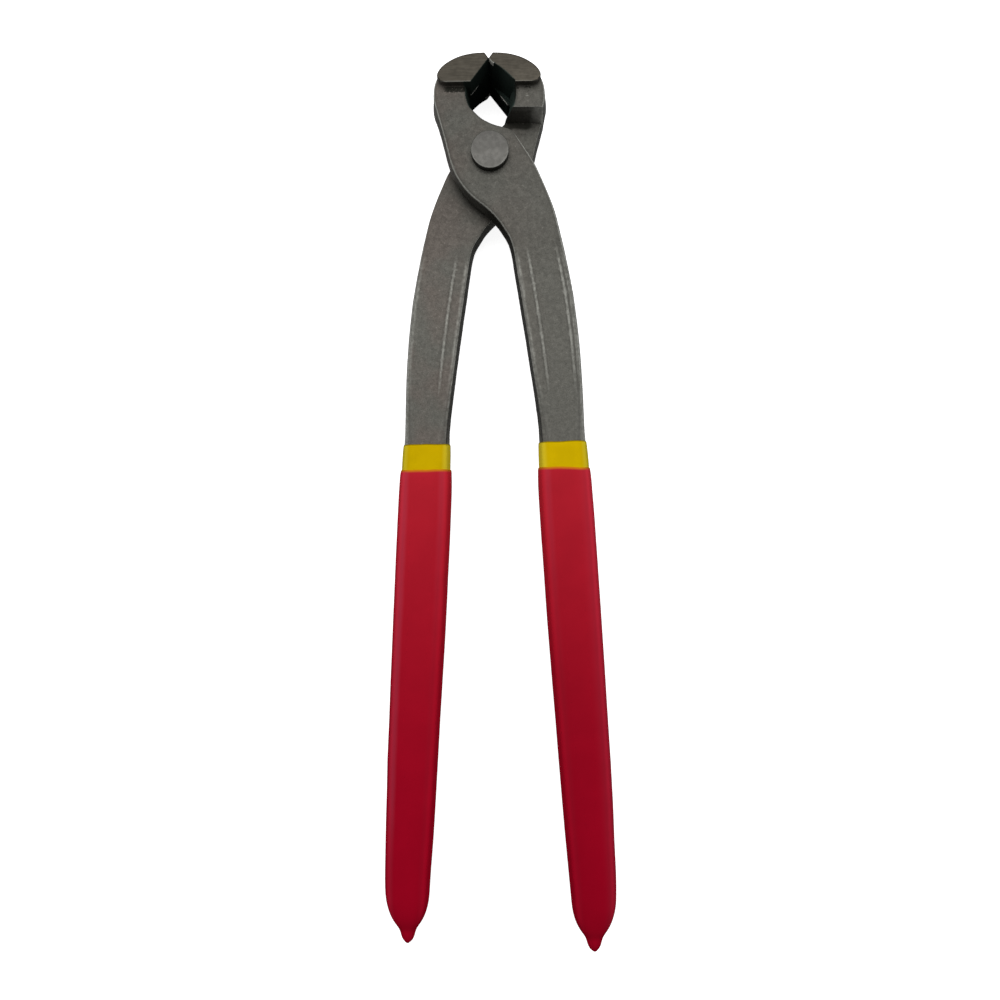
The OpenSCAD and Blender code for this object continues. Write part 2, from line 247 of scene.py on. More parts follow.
FOOT_END_Y = (FOOT_Y - 1.25 * MM, FOOT_Y - 2.9 * MM)
FOOT_FULL_Y = (FOOT_Y - 0.95 * MM, FOOT_Y - 1.45 * MM)
FOOT_DARK = (0.66, 1.0)
LIT_FOOT_SHARE = (0.12, 0.35)

# The rivet

FLATTENED = (1, 1, 0)
RIM_STEPS = 4
TURN_STEPS = 96
RIVET_SHARP = radians(35)
RIVET_MOTTLE_L = 1.6 * MM
RIVET_TONE = (0.97, 1.03)
# Painted light on the lower half of the rivet's head, a painted highlight on its rim and painted shade on its side
RIVET_LOWER_Y = (4 * MM, -4 * MM)
RIVET_LIGHT_GAIN = (0.88, 1.07)
RIM_START_R = (RIVET_R - 0.42 * MM, RIVET_R - 0.25 * MM)
RIM_END_R = (RIVET_R - 0.04 * MM, RIVET_R - 0.10 * MM)
RIM_HIGHLIGHT_SHARE = (0.10, 0.50)
RIVET_SIDE_SHADE_R = (RIVET_R - 0.08 * MM, RIVET_R - 0.02 * MM)
RIVET_METAL = 0.4
RIVET_ROUGH = (0.52, 0.42)
RIVET_BUMP = 0.04 * MM

# The coats

LIP = (0.15 * MM, 0.9 * MM)
FACING_OUT = (0.35, 1.0)
FACING_IN = (0.25, 0.95)
SAG_START = (2 * MM, 8 * MM)
SWELL_DEPTH = 3 * MM
LINE_FADE = (0.5 * MM, 4 * MM)
LINE_WAVE_L = 8 * MM
MIDDLE_X = 5 * MM
COAT_BUMP = 0.03 * MM

YELLOW_CLOUD_L = 6 * MM
YELLOW_TONE = (0.95, 1.04)
# Painted light on the right grip, a painted sheen on the sides and a painted shadow under the red's lip
YELLOW_RIGHT_LIGHT = 1.07
YELLOW_SHEEN = 0.75
YELLOW_SHEEN_TONE = 1.9
YELLOW_SHEEN_LIFT = 0.04
YELLOW_LIP_SHADOW = (0.7, 0.97)
YELLOW_LIP_SHADOW_SHARE = 0.7
YELLOW_LIP_SHADOW_TONE = 0.22
YELLOW_ROUGH = (0.40, 0.48)
YELLOW_BUMP_L = 1.2 * MM

RED_CLOUD_L = 9 * MM
RED_CLOUD_DARK = 0.06
RED_DEEPENING = 2.5
# Painted light and shade on the red grips: lighter further out to the right, on the outer and inner sides and on
# the left grip, darker on the right one near its end
RED_SPREAD_X = (18 * MM, 42 * MM)
RED_SPREAD_GAIN = (0.93, 1.06)
RED_OUTER_GAIN = 1.7
RED_INNER_GAIN = 1.55
RED_LEFT_GAIN = 1.08
RED_RIGHT_BRIGHT = (0.25, 0.5)
RED_RIGHT_GAIN = (0.94, 1.0)
RED_ROUGH = (0.42, 0.5)
RED_BUMP_L = 1.1 * MM

# The sheen along a red grip, in shares of its width and of its brightness

WIDE_SHEEN = (0.60, 1.03)
WIDE_SHEEN_POWER = 2.0
STREAK_START = (0.76, 0.86)
STREAK_END = (1.0, 0.88)
STREAK_BRIGHT = (0.0, 0.06)
STREAK_SHARE = (0.35, 1.0)
INNER_START = (0.07, 0.14)
INNER_END = (0.26, 0.16)
INNER_BRIGHT = (0.2, 1.0)
INNER_SHARE = (0.1, 0.6)

# The stage

KEY_SIZE = (1.0, 0.7)
KEY_PLACE = (0, 0.33, 1.00)
KEY_TARGET = (0, -0.10, 0)
FLOOR_GLOW = 0.88
FLOOR_ROUGH = 0.9
WHITE = (1, 1, 1, 1)
CLIP_NEAR = 10 * MM
CLIP_FAR = 20


def colour(name, description, default):
    return FloatVectorProperty(name=name, description=description, default=default,
                               subtype="COLOR", size=3, min=0, max=1)


def length(name, description, default, low=0.0):
    return FloatProperty(name=name, description=description, default=default,
                         unit="LENGTH", min=low, precision=5)


class NippersSteel(bpy.types.PropertyGroup):
    """Sizes and colours of the forged halves and the rivet"""

    mesh_step: length("Mesh step", "Longest edge in the mesh of a shank", 1.0 * MM)
    jaw_step: length("Jaw step", "Longest edge in the mesh of a jaw", 0.50 * MM)
    soften: IntProperty(name="Soften", description="Rounds of smoothing on the forged faces",
                        default=3, min=0, max=12)
    forging_wave: length("Forging wave", "Depth of the slow waves in a forged face", 0.05 * MM)
    forging_wave_l: length("Wave length", "Length of the slow waves in a forged face", 9 * MM)
    scale_depth: length("Scale depth", "Depth of the pits that scale leaves in a forging", 0.035 * MM)
    scale_l: length("Scale size", "Size of the pits that scale leaves in a forging", 1.8 * MM)
    rivet_head_t: length("Rivet head", "Thickness of each head of the rivet", 3.0 * MM)
    rivet_shank_d: length("Rivet shank", "Diameter of the rivet's shank", 8.0 * MM)
    rivet_rim: length("Rivet rim", "Radius of the rim of the rivet's heads", 0.35 * MM)
    forged: colour("Forged steel", "Colour of the forged faces", (0.098, 0.096, 0.085))
    # Painted warm light: this tint lies on the left side only, in patches
    forged_warm_light: colour("Tempered steel", "Brownish tint of the forged faces", (0.106, 0.093, 0.082))
    # Scale colour, also used to paint shade on upright sides, in corners, at the feet of walls and on the rivet's
    # side
    scale: colour("Scale", "Colour of the scale in corners and on forged sides", (0.016, 0.016, 0.013))
    # Soot colour: dark scale with painted shade over it, in the mouth
    soot_and_shade: colour("Soot", "Colour of the unground walls of the mouth", (0.023, 0.032, 0.028))
    # Worn colour: wear and painted highlights on edges, and the painted glints and lit rims
    wear_and_highlight: colour("Worn edge", "Colour of the edges that handling has polished", (0.34, 0.34, 0.31))
    ground: colour("Ground steel", "Colour of the ground sides of the blades", (0.058, 0.052, 0.042))
    rivet: colour("Rivet", "Colour of the rivet's head", (0.088, 0.085, 0.077))
    # Painted light: the forged faces lighter along the shanks than at the head
    shank_lift: FloatProperty(name="Shank tone", default=1.24, min=0.5, max=2,
                             description="How much lighter the shanks are than the hardened head")


class NippersGrips(bpy.types.PropertyGroup):
    """Sizes and colours of the dipped coats"""

    dip_wave: length("Dip line wave", "Height of the waves along a dip line", 0.33 * MM)
    swell: length("Swell", "How far a coat bulges past its nominal size", 0.30 * MM)
    sag: length("Sag", "Depth of the slow waves in a coat", 0.10 * MM)
    sag_l: length("Sag length", "Length of the slow waves in a coat", 16 * MM)
    levels: IntProperty(name="Levels", description="Subdivisions of a coat", default=2, min=1, max=3)
    yellow: colour("Yellow", "Colour of the first coat", (0.60, 0.405, 0.001))
    red: colour("Red", "Colour of the second coat near the jaws", (0.49, 0.0175, 0.031))
    # Part of the darkening towards the grip's end is painted shade
    red_deep: colour("Deep red", "Colour of the second coat near its end", (0.345, 0.0022, 0.0152))
    thin_red: colour("Thin red", "Colour of the second coat where it runs out over the first",
                     (0.62, 0.19, 0.010))
    sheen: colour("Sheen", "Colour of the light that runs along a grip", (0.040, 0.017, 0.028))


class NippersStage(bpy.types.PropertyGroup):
    """The camera, the lamp, the sky and the floor"""

    lens: FloatProperty(name="Lens", description="Focal length of the camera", default=30.42,
                        unit="CAMERA")
    camera_x: length("Camera X", "Place of the camera across the tool", 3.90 * MM, low=-1)
    camera_y: length("Camera Y", "Place of the camera along the tool", -115.2 * MM, low=-1)
    camera_h: length("Camera height", "Height of the camera above the plane of the lap", 0.290)
    roll: FloatProperty(name="Roll", description="Turn of the picture", default=radians(-0.71),
                        subtype="ANGLE")
    axis_shift: FloatProperty(name="Axis", description="Sideways shift of the picture, in widths",
                              default=-0.006)
    floor_size: length("Floor", "Width of the floor", 6.0)
    floor_colour: colour("Floor colour", "Colour of the floor", (0.80, 0.80, 0.80))
    floor_shade: colour("Floor shade", "Colour of the light that the floor sends back",
                        (0.06, 0.06, 0.06))
    sky: FloatProperty(name="Sky", description="Strength of the light from all round", default=0.20)
    key: FloatProperty(name="Key", description="Power of the large lamp above the jaws",
                       default=10.5, unit="POWER")


# Meshes

def floats_of(items, name, width):
    flat = np.empty(len(items) * width, np.float32)
    items.foreach_get(name, flat)
    return flat.reshape(-1, width).astype(float)


def points_of(mesh):
    return floats_of(mesh.vertices, "co", 3)


def normals_of(mesh):
    return floats_of(mesh.vertices, "normal", 3)


def edges_of(mesh):
    flat = np.empty(len(mesh.edges) * 2, np.int32)
    mesh.edges.foreach_get("vertices", flat)
    return flat.reshape(-1, 2)


def set_points(mesh, points):
    mesh.vertices.foreach_set("co", points.astype(np.float32).ravel())
    mesh.update()


def set_share(mesh, name, values):
    """Stores a share at the vertices or, when there is one for each corner, at the corners"""
    domain = "POINT" if len(values) == len(mesh.vertices) else "CORNER"
    layer = mesh.attributes.new(name, "FLOAT", domain)
    layer.data.foreach_set("value", values.astype(np.float32))


def step(values, low, high):
    """0 below low, 1 above high, smooth between"""
    t = np.clip((values - low) / (high - low), 0, 1)
    return t * t * (3 - 2 * t)


def gathered(edges, first, second, size):
    """The mean, at each vertex, of a value given for each edge's first and second end"""
    total = np.bincount(edges[:, 0], first, size) + np.bincount(edges[:, 1], second, size)
    return total / np.maximum(np.bincount(edges.ravel(), minlength=size), 1)


def neighbours_mean(edges, values):
    return gathered(edges, values[edges[:, 1]], values[edges[:, 0]], len(values))


def ridge(mesh):
    """How sharply the surface turns at each vertex, per metre: above 0 on an outer edge"""
    points, normals, edges = points_of(mesh), normals_of(mesh), edges_of(mesh)
    along = points[edges[:, 1]] - points[edges[:, 0]]
    square = np.maximum((along ** 2).sum(1), MERGE_L ** 2)
    first = -(along * normals[edges[:, 0]]).sum(1) / square
    second = (along * normals[edges[:, 1]]).sum(1) / square
    return gathered(edges, first, second, len(points))


def waves(points, wave_l, seed):
    """Smooth noise from about -1 to 1"""
    offset = Vector([seed * shift for shift in SEED_STEPS])
    kind = (WAVE_SOFTNESS, WAVE_RATIO, WAVE_OCTAVES)
    return np.array([noise.fractal(Vector(p) + offset, *kind) for p in points / wave_l])


def cad_copy(node, name):
    """A new piece with the merged mesh of a CAD node"""
    mesh = frame["nodes"][node].data.copy()
    mesh.name = name
    mesh.materials.clear()
    bm = bmesh.new()
    bm.from_mesh(mesh)
    bmesh.ops.remove_doubles(bm, verts=bm.verts, dist=MERGE_L)
    bm.to_mesh(mesh)
    bm.free()
    return new_piece(mesh, name)


def new_piece(mesh, name):
    piece = bpy.data.objects.new(name, mesh)
    bpy.context.scene.collection.objects.link(piece)
    return piece


def apply_modifiers(piece):
    """Gives the piece the mesh that its modifiers make, and removes them"""
    graph = bpy.context.evaluated_depsgraph_get()
    mesh = bpy.data.meshes.new_from_object(piece.evaluated_get(graph))
    piece.modifiers.clear()
    piece.data = mesh
    return mesh


def shade(piece, material):
    piece.data.materials.clear()
    piece.data.materials.append(material)
    piece.data.polygons.foreach_set("use_smooth", [True] * len(piece.data.polygons))
    piece.data.update()


def keep_inside(points, low, high):
    """Moves points that stray past a box back to it"""
    for axis in range(3):
        points[:, axis] = np.clip(points[:, axis], low[axis], high[axis])


def hand_over(piece, node):
    """The piece stands for its CAD node and moves with that node's body"""
    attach(piece, BODY_OF[node])
    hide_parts(node)


# Materials

class Nodes:
    """Adds shader nodes to a material and links them"""

    def __init__(self, name):
        self.material = bpy.data.materials.new(name)
        self.material.use_nodes = True
        self.tree = self.material.node_tree
        self.shader = self.tree.nodes["Principled BSDF"]
        self.coordinates = self.add("ShaderNodeTexCoord")

    def add(self, kind, inputs=None, **settings):
        made = self.tree.nodes.new(kind)
        for key, value in settings.items():
            setattr(made, key, value)
        for key, value in (inputs or {}).items():
            self.feed(made.inputs[key], value)
        return made

    def feed(self, socket, value):
        if isinstance(value, bpy.types.NodeSocket):
            self.tree.links.new(value, socket)
        else:
            socket.default_value = value

    def place(self, stretch=(1, 1, 1), turn=0.0):
        """Object coordinates, stretched and turned"""
        made = self.add("ShaderNodeMapping", {
            "Vector": self.coordinates.outputs["Object"],
            "Scale": stretch,
            "Rotation": (0, 0, turn)})
        return made.outputs["Vector"]

    def noise(self, size, detail=4.0, roughness=0.55, where=None):
        """Noise whose spots are about size across"""
        made = self.add("ShaderNodeTexNoise", {
            "Vector": where or self.coordinates.outputs["Object"],
            "Scale": 1 / size, "Detail": detail, "Roughness": roughness})
        return made.outputs["Fac"]

    def ramp(self, value, low, high, to_low=0.0, to_high=1.0):
        """Value between low and high, mapped smoothly"""
        made = self.add("ShaderNodeMapRange", {
            "Value": value, "From Min": low, "From Max": high,
            "To Min": to_low, "To Max": to_high}, interpolation_type="SMOOTHSTEP")
        return made.outputs["Result"]

    def choose(self, share, first, second):
        """From first to second as the share goes from 0 to 1"""
        return self.ramp(share, 0, 1, first, second)

    def band(self, value, start, end):
        """1 between two fades, each given from where the band is 0 to where it is 1"""
        return self.times(self.ramp(value, *start), self.ramp(value, *end))

    def math(self, operation, a, b=0.0):
        made = self.add("ShaderNodeMath", operation=operation)
        self.feed(made.inputs[0], a)
        self.feed(made.inputs[1], b)
        return made.outputs["Value"]

    def times(self, product, *others):
        for other in others:
            product = self.math("MULTIPLY", product, other)
        return product

    def less(self, whole, part):
        return self.math("SUBTRACT", whole, part)

    def mix(self, share, a, b, blend="MIX"):
        made = self.add("ShaderNodeMix", data_type="RGBA", blend_type=blend)
        self.feed(made.inputs["Factor"], share)
        self.feed(made.inputs["A"], a if isinstance(a, bpy.types.NodeSocket) else (*a, 1))
        self.feed(made.inputs["B"], b if isinstance(b, bpy.types.NodeSocket) else (*b, 1))
        return made.outputs["Result"]

    def lighten(self, face, gain):
        """The face's colour times a gain"""
        grey = self.add("ShaderNodeCombineColor", {"Red": gain, "Green": gain, "Blue": gain})
        return self.mix(1.0, face, grey.outputs["Color"], "MULTIPLY")

    def share(self, name):
        """A share that the mesh carries"""
        return self.add("ShaderNodeAttribute", attribute_name=name).outputs["Fac"]

    def axis(self, name):
        made = self.add("ShaderNodeSeparateXYZ", {"Vector": self.coordinates.outputs["Object"]})
        return made.outputs[name]

    def bump(self, height, depth):
        return self.add("ShaderNodeBump", {"Height": height, "Distance": depth}).outputs["Normal"]

    def finish(self, **inputs):
        for key, value in inputs.items():
            name = key.replace("_", " ")
            if not isinstance(value, bpy.types.NodeSocket) and hasattr(value, "__len__"):
                value = (*value, 1)
            self.feed(self.shader.inputs[name], value)
        return self.material


def toned(colour, gain, lift=0.0):
    """The colour made lighter or darker"""
    return [min(1.0, c * gain + lift) for c in colour]


def forged_face(n, steel, mottle, grain):
    """Forged skin with patches of painted warm light on the left, specks, painted light along the shanks, worn
    edges with painted highlights, and scale and painted shade on its sides
    """
    right = n.ramp(n.axis("X"), -WARM_X, WARM_X)
    patches = n.noise(PATCH_L, detail=3.0, roughness=0.5)
    specks = n.noise(SPECK_L, detail=2.0, roughness=0.7)
    # Painted warm light on the left, in patches
    warm_light = n.times(n.ramp(patches, *PATCH_NOISE), n.less(1.0, right))
    face = n.mix(warm_light, steel.forged, steel.forged_warm_light)
    gain = n.times(
        n.ramp(mottle, *WIDE_NOISE, *MOTTLE_GAIN),
        n.ramp(grain, *WIDE_NOISE, *GRAIN_GAIN),
        n.ramp(specks, *PALE_SPECK, 1.0, PALE_GAIN),
        n.ramp(specks, *DARK_SPECK, 1.0, DARK_GAIN),
        n.ramp(n.axis("Y"), *SHANK_TONE_Y, steel.shank_lift, 1.0))
    face = n.lighten(face, gain)
    broken = n.ramp(n.axis("Y"), *BROKEN_Y, *BROKEN_SHARE)
    # Wear and painted highlights on the edges, broken up by the mottle
    wear_and_highlight_mask = n.times(n.share("wear_and_highlight"), n.ramp(mottle, *BROKEN_NOISE, broken, 1.0))
    face = n.mix(wear_and_highlight_mask, face, steel.wear_and_highlight)
    # Scale and painted shade on sides, in corners and at feet
    return n.mix(n.times(n.share("scale"), SCALE_AND_SHADE_SHARE), face, steel.scale)


def foot_shade(n, left, rise):
    """The ragged dark line below the ground sides, scale with painted shadow, and painted shade on the wall that
    they end on
    """
    strokes = n.noise(STROKE_L, detail=4.0, roughness=0.75, where=n.place(STROKE_STRETCH, STROKE_ANGLE))
    end = (n.choose(left, *FOOT_END_Y), n.choose(left, *FOOT_FULL_Y))
    within = n.ramp(n.math("ABSOLUTE", n.axis("X")), *FOOT_X)
    foot = n.times(n.band(n.axis("Y"), end, FOOT_START_Y), n.choose(left, *FOOT_DARK), within)
    # Painted shade on the wall below the ground sides
    wall = n.times(n.ramp(n.axis("Y"), *FOOT_WALL_Y), FOOT_WALL_DARK)
    ragged = n.math("ADD", foot, n.times(n.less(strokes, 0.5), STROKE_GAIN))
    dark = n.math("MAXIMUM", n.ramp(ragged, *FOOT_NOISE), wall)
    return n.times(dark, n.times(within, n.ramp(rise, *FOOT_RISE)), SCALE_AND_SHADE_SHARE)


def ground_face(n, steel, left):
    """Grinding strokes, paler towards the foot"""
    along = n.place(GRINDING_STRETCH, GRINDING_ANGLE)
    grinding = n.noise(GRINDING_L, detail=3.0, roughness=0.5, where=along)
    dark, pale = (toned(steel.ground, tone) for tone in GRINDING_TONE)
    face = n.mix(n.ramp(grinding, *FULL_NOISE), dark, pale)
    lit_foot = n.times(n.ramp(n.axis("Y"), *LIT_FOOT_Y), n.choose(left, *LIT_FOOT_SHARE))
    face = n.mix(lit_foot, face, steel.wear_and_highlight)
    near_foot = n.times(n.ramp(n.axis("Y"), *PALE_FOOT_Y), n.ramp(n.axis("X"), *PALE_FOOT_X))
    return n.lighten(face, n.choose(near_foot, 1.0, PALE_FOOT_GAIN))


def mouth_face(n, steel):
    """Soot and painted shade, painted lighter on the right, and painted glints on the bevels and lands"""
    walls = n.mix(n.ramp(n.axis("X"), *SOOT_RIGHT_X), steel.soot_and_shade, toned(steel.soot_and_shade, SOOT_RIGHT_TONE))
    # Painted highlights on the bevels and the lands
    return n.mix(n.share("glint"), walls, toned(steel.wear_and_highlight, GLINT_TONE))


def forged_steel(name, steel):
    """Forged steel with ground sides on its blade and soot and painted shade in its mouth"""
    n = Nodes(name)
    mottle = n.noise(MOTTLE_L, detail=4.0, roughness=0.6)
    grain = n.noise(GRAIN_L, detail=2.0, roughness=0.6)
    rise = n.math("ABSOLUTE", n.less(n.axis("Z"), LAP_Z))
    left = n.ramp(n.axis("X"), *LEFT_X)
    ground = n.ramp(rise, *GROUND_RISE)
    face = forged_face(n, steel, mottle, grain)
    face = n.mix(foot_shade(n, left, rise), face, steel.scale)
    face = n.mix(ground, face, ground_face(n, steel, left))
    face = n.mix(n.share("soot_and_shade"), face, mouth_face(n, steel))
    rough = n.ramp(mottle, *FULL_NOISE, *FORGED_ROUGH)
    rough = n.less(rough, n.times(ground, GROUND_SHINE))
    rough = n.less(rough, n.times(n.share("wear_and_highlight"), WORN_SHINE))
    height = n.math("ADD", n.times(mottle, 0.5), n.times(grain, 0.5))
    height = n.times(height, n.less(1.0, ground))
    metal = n.times(n.less(1.0, n.share("soot_and_shade")), FORGED_METAL)
    n.shader.inputs["Specular IOR Level"].default_value = 0.0
    return n.finish(Base_Color=face, Metallic=metal, Roughness=rough,
                    Normal=n.bump(height, FORGED_BUMP))


def rivet_steel(name, steel):
    """Upset and lightly ground rivet steel, painted lighter on its lower half, with a painted highlight on its rim
    and painted shade on its side
    """
    n = Nodes(name)
    mottle = n.noise(RIVET_MOTTLE_L, detail=5.0, roughness=0.6)
    dark, pale = (toned(steel.rivet, tone) for tone in RIVET_TONE)
    face = n.mix(n.ramp(mottle, *FULL_NOISE), dark, pale)
    off_axis = n.add("ShaderNodeVectorMath", {0: n.place(FLATTENED)}, operation="LENGTH")
    off_axis = off_axis.outputs["Value"]
    # Painted light on the lower half, and a painted highlight on the rim
    lit_lower = n.ramp(n.axis("Y"), *RIVET_LOWER_Y)
    face = n.lighten(face, n.choose(lit_lower, *RIVET_LIGHT_GAIN))
    rim = n.times(n.band(off_axis, RIM_START_R, RIM_END_R), n.choose(lit_lower, *RIM_HIGHLIGHT_SHARE))
    face = n.mix(rim, face, steel.wear_and_highlight)
    face = n.mix(n.ramp(off_axis, *RIVET_SIDE_SHADE_R), face, steel.scale)
    n.shader.inputs["Specular IOR Level"].default_value = 0.3
    return n.finish(Base_Color=face, Metallic=RIVET_METAL,
                    Roughness=n.ramp(mottle, *FULL_NOISE, *RIVET_ROUGH),
                    Normal=n.bump(mottle, RIVET_BUMP))


def yellow_vinyl(name, grips):
    """Yellow vinyl, with a painted sheen on its sides, painted lighter on the right grip and a painted shadow
    along its dip line
    """
    n = Nodes(name)
    clouds = n.noise(YELLOW_CLOUD_L, detail=3.0, roughness=0.5)
    dark, pale = (toned(grips.yellow, tone) for tone in YELLOW_TONE)
    face = n.mix(n.ramp(clouds, *FULL_NOISE), dark, pale)
    face = n.lighten(face, n.ramp(n.axis("X"), -MIDDLE_X, MIDDLE_X, 1.0, YELLOW_RIGHT_LIGHT))
    sides = n.times(n.math("MAXIMUM", n.share("outer"), n.share("inner")), YELLOW_SHEEN)
    face = n.mix(sides, face, toned(grips.yellow, YELLOW_SHEEN_TONE, YELLOW_SHEEN_LIFT))
    line = n.times(n.ramp(n.share("thin"), *YELLOW_LIP_SHADOW), YELLOW_LIP_SHADOW_SHARE)
    face = n.mix(line, face, toned(grips.yellow, YELLOW_LIP_SHADOW_TONE))
    n.shader.inputs["Specular IOR Level"].default_value = 0.0
    return n.finish(Base_Color=face, Roughness=n.ramp(clouds, *FULL_NOISE, *YELLOW_ROUGH),
                    Normal=n.bump(n.noise(YELLOW_BUMP_L), COAT_BUMP))


def grip_sheen(n, bright):
    """Where light runs along a red grip: a narrow streak on the left one and a wide one on the right"""
    place = n.share("across")
    wide = n.math("POWER", n.ramp(place, *WIDE_SHEEN), WIDE_SHEEN_POWER)
    streak = n.times(n.band(place, STREAK_START, STREAK_END), n.ramp(bright, *STREAK_BRIGHT, *STREAK_SHARE))
    outer = n.ramp(n.axis("X"), -MIDDLE_X, MIDDLE_X, streak, wide)
    inner = n.times(n.band(place, INNER_START, INNER_END), n.ramp(bright, *INNER_BRIGHT, *INNER_SHARE))
    return n.math("ADD", outer, inner)


def red_vinyl(name, grips):
    """Red vinyl that deepens towards its end, partly as painted shade, with painted light on its sides and on the
    left grip, and thins over the yellow at its dip line
    """
    n = Nodes(name)
    clouds = n.noise(RED_CLOUD_L, detail=3.0, roughness=0.5)
    up = n.math("DIVIDE", n.less(n.axis("Y"), END_Y), DIP_Y - END_Y)
    bright = n.math("POWER", n.math("MAXIMUM", up, 0.0), RED_DEEPENING)
    face = n.mix(bright, grips.red_deep, grips.red)
    face = n.mix(n.ramp(clouds, *FULL_NOISE), face, n.mix(RED_CLOUD_DARK, face, (0, 0, 0)))
    # Painted light and shade across the grips and on their sides
    right_gain = n.ramp(bright, *RED_RIGHT_BRIGHT, *RED_RIGHT_GAIN)
    gain = n.times(
        n.ramp(n.axis("X"), *RED_SPREAD_X, *RED_SPREAD_GAIN),
        n.choose(n.share("outer"), 1.0, RED_OUTER_GAIN),
        n.choose(n.share("inner"), 1.0, RED_INNER_GAIN),
        n.ramp(n.axis("X"), MIDDLE_X, -MIDDLE_X, right_gain, RED_LEFT_GAIN))
    face = n.lighten(face, gain)
    face = n.mix(grip_sheen(n, bright), face, grips.sheen, "ADD")
    face = n.mix(n.share("thin"), face, grips.thin_red)
    n.shader.inputs["Specular IOR Level"].default_value = 0.0
    return n.finish(Base_Color=face, Roughness=n.ramp(clouds, *FULL_NOISE, *RED_ROUGH),
                    Normal=n.bump(n.noise(RED_BUMP_L), COAT_BUMP))


# Pieces

def refine(mesh, longest, low_y):
    """Splits the edges above low_y that are longer than longest, in a few rounds"""
    bm = bmesh.new()
    bm.from_mesh(mesh)
    for _ in range(REFINE_ROUNDS):
        long_edges = [e for e in bm.edges
                      if e.calc_length() > longest and max(v.co.y for v in e.verts) > low_y]
        bmesh.ops.subdivide_edges(bm, edges=long_edges, cuts=1)
        bmesh.ops.triangulate(bm, faces=[f for f in bm.faces if len(f.verts) > 3])
    bm.to_mesh(mesh)
    bm.free()
    mesh.update()


class Corners:
    """Places, facings and turns at the corners of a forging's mesh"""

    def __init__(self, mesh, up):
        edges = edges_of(mesh)
        turn = ridge(mesh)
        turn = (turn + neighbours_mean(edges, turn)) / 2
        wide_turn = (turn + neighbours_mean(edges, turn)) / 2
        corner_of = np.empty(len(mesh.loops), np.int32)
        mesh.loops.foreach_get("vertex_index", corner_of)
        x, self.y, z = points_of(mesh)[corner_of].T
        nx, self.facing_y, nz = floats_of(mesh.corner_normals, "vector", 3).T
        self.x = x
        self.off = np.abs(x)
        self.rise = np.abs(z - LAP_Z)
        self.own = (z - LAP_Z) * up
        self.turn = turn[corner_of]
        self.wide_turn = wide_turn[corner_of]
        self.lying = np.abs(nz)
        self.inward = -(x * nx + (self.y - MOUTH_Y) * self.facing_y)
        self.down_shank = step(-self.y, *SHANK_Y)
        self.outer = step(nx * np.sign(x), *OUTER_FACING) * step(self.off, *OUTER_X)

    def between(self, low, high):
        """Whether y lies between two places"""
        return (self.y > low) & (self.y < high)


def soot_shade_and_glint(c):
    """Soot and painted shade on the walls and the ledge of the mouth, painted glints on its bevels and lands"""
    walls = step(c.inward, *MOUTH_FACING) * (c.lying < STEEP)
    ledge = (c.rise < LEDGE_RISE) & (c.y > LEDGE_LOW_Y) & (c.lying > STEEP)
    soot_and_shade = np.maximum(walls, ledge) * step(SOOT_HALF_W - c.off, 0, SOOT_FADE) * step(c.y, *SOOT_Y)
    land = (c.own < -LAND_DEPTH) & (c.y > LAND_LOW_Y) & (soot_and_shade > 0)
    bevel_x = BEVEL_FOOT_X - (c.y - FOOT_Y) * BEVEL_SLOPE
    bevel = (np.abs(c.off - bevel_x) < GLINT_HALF_W) & (np.abs(c.rise - GLINT_RISE) < GLINT_HALF_H)
    bevel = bevel * step(c.y, *GLINT_START_Y) * (1 - step(c.y, *GLINT_END_Y))
    return soot_and_shade, np.maximum(bevel, land)


def wear_and_highlight_share(c):
    """Wear and painted highlights on rolled edges, painted highlights on the rim of the flat top, on the block's
    wall and on the ribs
    """
    rolled = step(c.lying, *ROLL_START) * (1 - step(c.lying, *ROLL_END))
    rolled *= (c.turn > ROLL_TURN) | (c.y < ROLL_ALL_Y)
    rolled *= 1 - MOUTH_RIM_LOSS * step(c.inward, *MOUTH_RIM_FACING) * step(c.y, *MOUTH_RIM_Y)
    rolled *= 1 - LOW_SHANK_LOSS * step(-c.y, *LOW_SHANK_Y)
    rolled = np.maximum(rolled, OUTER_HIGHLIGHT * c.outer * c.down_shank * (c.lying < OUTER_LYING))
    flat_top = (c.lying > TOP_LYING) & c.between(TOP_LOW_Y, TOP_HIGH_Y) & (c.off < TOP_HALF_W)
    rolled = np.where(flat_top, TOP_HIGHLIGHT * step(c.turn, *TOP_TURN), rolled)
    wall = c.between(BLOCK_LOW_Y, BLOCK_HIGH_Y) & (c.facing_y < BLOCK_FACING)
    # Painted light on the top and the right end of the block's wall
    lit_wall = np.maximum(step(c.off, *LIT_WALL_X), LIT_WALL_SHARE * step(c.rise, *LIT_WALL_RISE))
    rolled = np.maximum(rolled, LIT_WALL_SHARE * wall * lit_wall)
    crest = CREST_HIGHLIGHT * step(c.wide_turn, *CREST_TURN) * step(-c.y, *CREST_Y) * (c.lying > FLAT)
    crest *= 1 - CREST_LOSS * step(-c.y, *CREST_END_Y)
    return np.maximum(rolled, crest)


